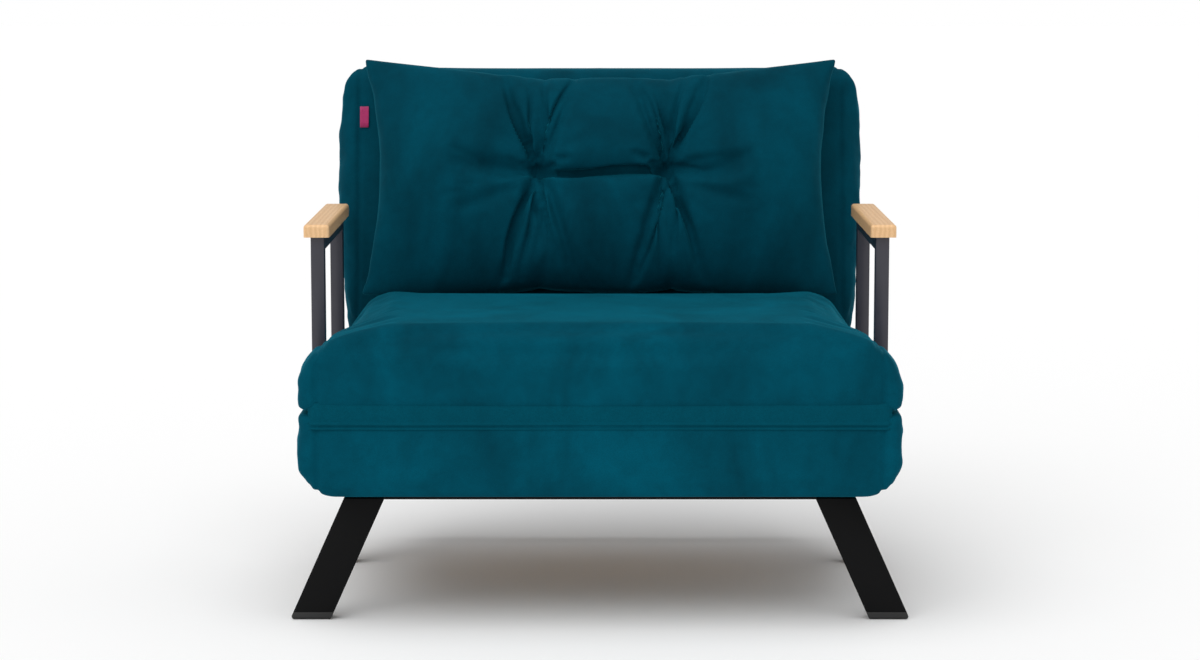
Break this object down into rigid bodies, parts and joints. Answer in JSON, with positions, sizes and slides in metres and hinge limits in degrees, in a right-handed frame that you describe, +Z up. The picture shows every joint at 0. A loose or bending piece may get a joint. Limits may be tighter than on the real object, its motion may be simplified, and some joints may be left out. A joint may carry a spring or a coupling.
{
  "type": "convertible chair bed",
  "caption": "Upholstered armchair that unfolds into a single bed: hinged mattress seat over pull-out slats, reclining back, tufted pillow, open wooden-topped steel arms, splayed legs.",
  "frame": {"origin": "on the floor under the middle of the chair's width and depth, folded up as a chair", "axes": "+X to the right as seen from the front, -Y towards the front, +Z up"},
  "size_m": [0.9576, 0.7902, 0.8393],
  "materials": {
    "teal_velvet": "short velvet pile, soft sheen, brighter at grazing angles",
    "teal_strip": "woven strip of the same colour, no pile",
    "magenta_tag": "plain woven tag, blank",
    "black_lining": "thin spun lining",
    "beech": "clear satin lacquer over straight grain",
    "slat_wood": "bare planed wood",
    "grey_steel": "satin dark grey powder coat",
    "black_steel": "matt black powder coat",
    "black_plastic": "fine moulded texture",
    "zinc": "bright zinc plate"
  },
  "bodies": {
    "base": {"arm_bar_low_left": "grey_steel", "arm_bar_low_right": "grey_steel", "arm_bar_top_left": "grey_steel", "arm_bar_top_right": "grey_steel", "arm_bolts": "zinc", "arm_post_front_left": "grey_steel", "arm_post_front_right": "grey_steel", "arm_post_rear_left": "grey_steel", "arm_post_rear_right": "grey_steel", "armrest_left": "beech", "armrest_right": "beech", "armrest_screws": "zinc", "cross_rail_front": "black_steel", "cross_rail_middle": "black_steel", "cross_rail_rear": "black_steel", "fixed_slats": "slat_wood", "hinge_strip": "teal_strip", "leg_bolts": "zinc", "lower_section": "teal_velvet", "outrigger_front_left": "black_steel", "outrigger_front_right": "black_steel", "outrigger_rear_left": "black_steel", "outrigger_rear_right": "black_steel", "pivot_pins": "zinc", "rail_bushes": "black_plastic", "ratchet_bracket_left": "black_steel", "ratchet_bracket_right": "black_steel", "rear_foot_left": "black_plastic", "rear_foot_right": "black_plastic", "rear_leg_left": "black_steel", "rear_leg_right": "black_steel", "side_rail_left": "black_steel", "side_rail_right": "black_steel"},
    "pull_out_frame": {"pull_cross_rail": "black_steel", "pull_slats": "slat_wood", "leg_arm_left": "black_steel", "leg_arm_right": "black_steel", "guide_bar_left": "black_steel", "guide_bar_right": "black_steel", "guide_glides": "black_plastic", "front_leg_left": "black_steel", "front_leg_right": "black_steel", "front_foot_left": "black_plastic", "front_foot_right": "black_plastic"},
    "seat": {"seat_section": "teal_velvet"},
    "back": {"back_cushion": "teal_velvet", "back_tube_left": "black_steel", "back_tube_right": "black_steel", "back_tube_foot": "black_steel", "back_tube_top": "black_steel", "back_slats": "slat_wood", "back_panel": "black_lining", "blank_tag": "magenta_tag", "ratchet_arm_left": "zinc", "ratchet_arm_right": "zinc", "ratchet_arm_bolts": "zinc"},
    "loose_pillow": {"pillow": "teal_velvet", "pillow_buttons": "teal_velvet"}
  },
  "joints": [
    {"name": "pull_out", "type": "slide", "parent": "base", "child": "pull_out_frame", "axis": [0, -1, 0], "range_m": [0, 0.42]},
    {"name": "seat_flip", "type": "hinge", "parent": "base", "child": "seat", "pos_m": [0, -0.397, 0.336], "axis": [1, 0, 0], "range_deg": [0, 180]},
    {"name": "back_recline", "type": "hinge", "parent": "base", "child": "back", "pos_m": [0, 0.207, 0.273], "axis": [-1, 0, 0], "range_deg": [0, 77]},
    {"name": "pillow_lift", "type": "slide", "parent": "back", "child": "loose_pillow", "axis": [0, 0.225, 0.9744], "range_m": [0, 0.12]}
  ]
}
